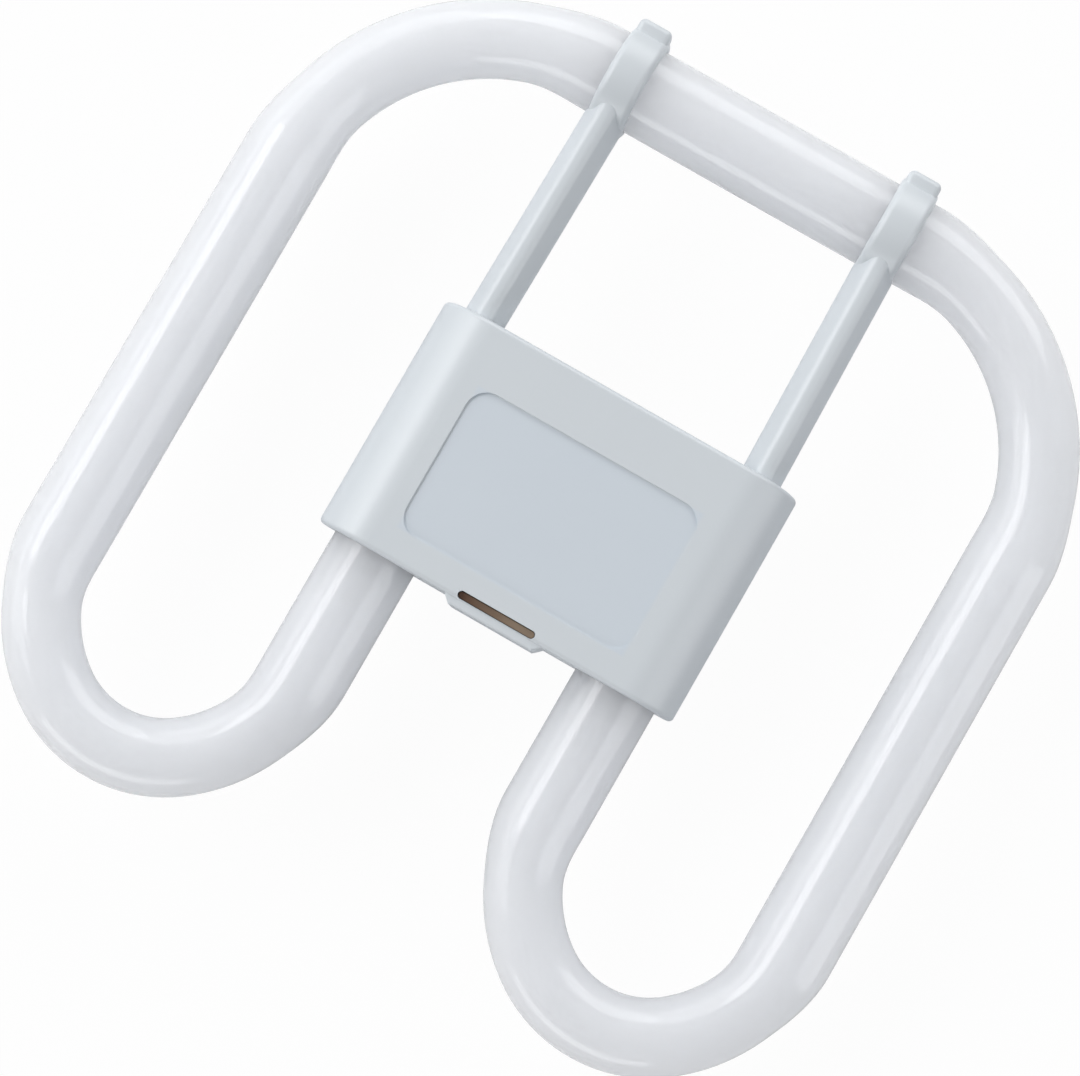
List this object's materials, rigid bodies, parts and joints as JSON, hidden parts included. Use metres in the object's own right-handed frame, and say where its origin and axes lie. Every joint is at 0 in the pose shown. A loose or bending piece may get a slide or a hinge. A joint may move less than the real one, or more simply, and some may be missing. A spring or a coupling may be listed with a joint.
{
  "type": "square compact fluorescent lamp",
  "caption": "Square double-loop fluorescent lamp: a bent phosphor-coated glass tube with a white plastic housing, arms clipped to its crossbar and a recessed-pin cap.",
  "frame": {"origin": "centre of the cap's rim, on the flat plane that the rim stands on", "axes": "+X across the lamp, +Y towards the crossbar, +Z out of the front cover"},
  "size_m": [0.138, 0.1397, 0.0275],
  "materials": {
    "phosphor_glass": "clear glass over a white phosphor coat, opaque",
    "white_plastic": "satin moulded thermoplastic",
    "brown_phenolic": "moulded phenolic",
    "brass": "drawn, lightly tarnished",
    "starter_glass": "clear",
    "capacitor_case": "dipped resin",
    "tinned_metal": "tinned",
    "lead_wire": "drawn",
    "sleeve": "woven glass-fibre sleeving",
    "cement": "cured silicone cement"
  },
  "bodies": {
    "root": {"discharge_tube": "phosphor_glass", "front_cover": "white_plastic", "rear_shell": "white_plastic", "left_support_arm": "white_plastic", "right_support_arm": "white_plastic", "contact_carrier": "brown_phenolic", "left_contact_pin": "brass", "right_contact_pin": "brass", "starter_bottle": "starter_glass", "starter_capacitor": "capacitor_case", "left_splice": "tinned_metal", "right_splice": "tinned_metal", "left_inner_lead": "lead_wire", "right_inner_lead": "lead_wire", "left_outer_lead": "lead_wire", "right_outer_lead": "lead_wire", "left_inner_sleeve": "sleeve", "right_inner_sleeve": "sleeve", "left_outer_sleeve": "sleeve", "right_outer_sleeve": "sleeve", "left_tube_cement": "cement", "right_tube_cement": "cement"}
  },
  "joints": []
}
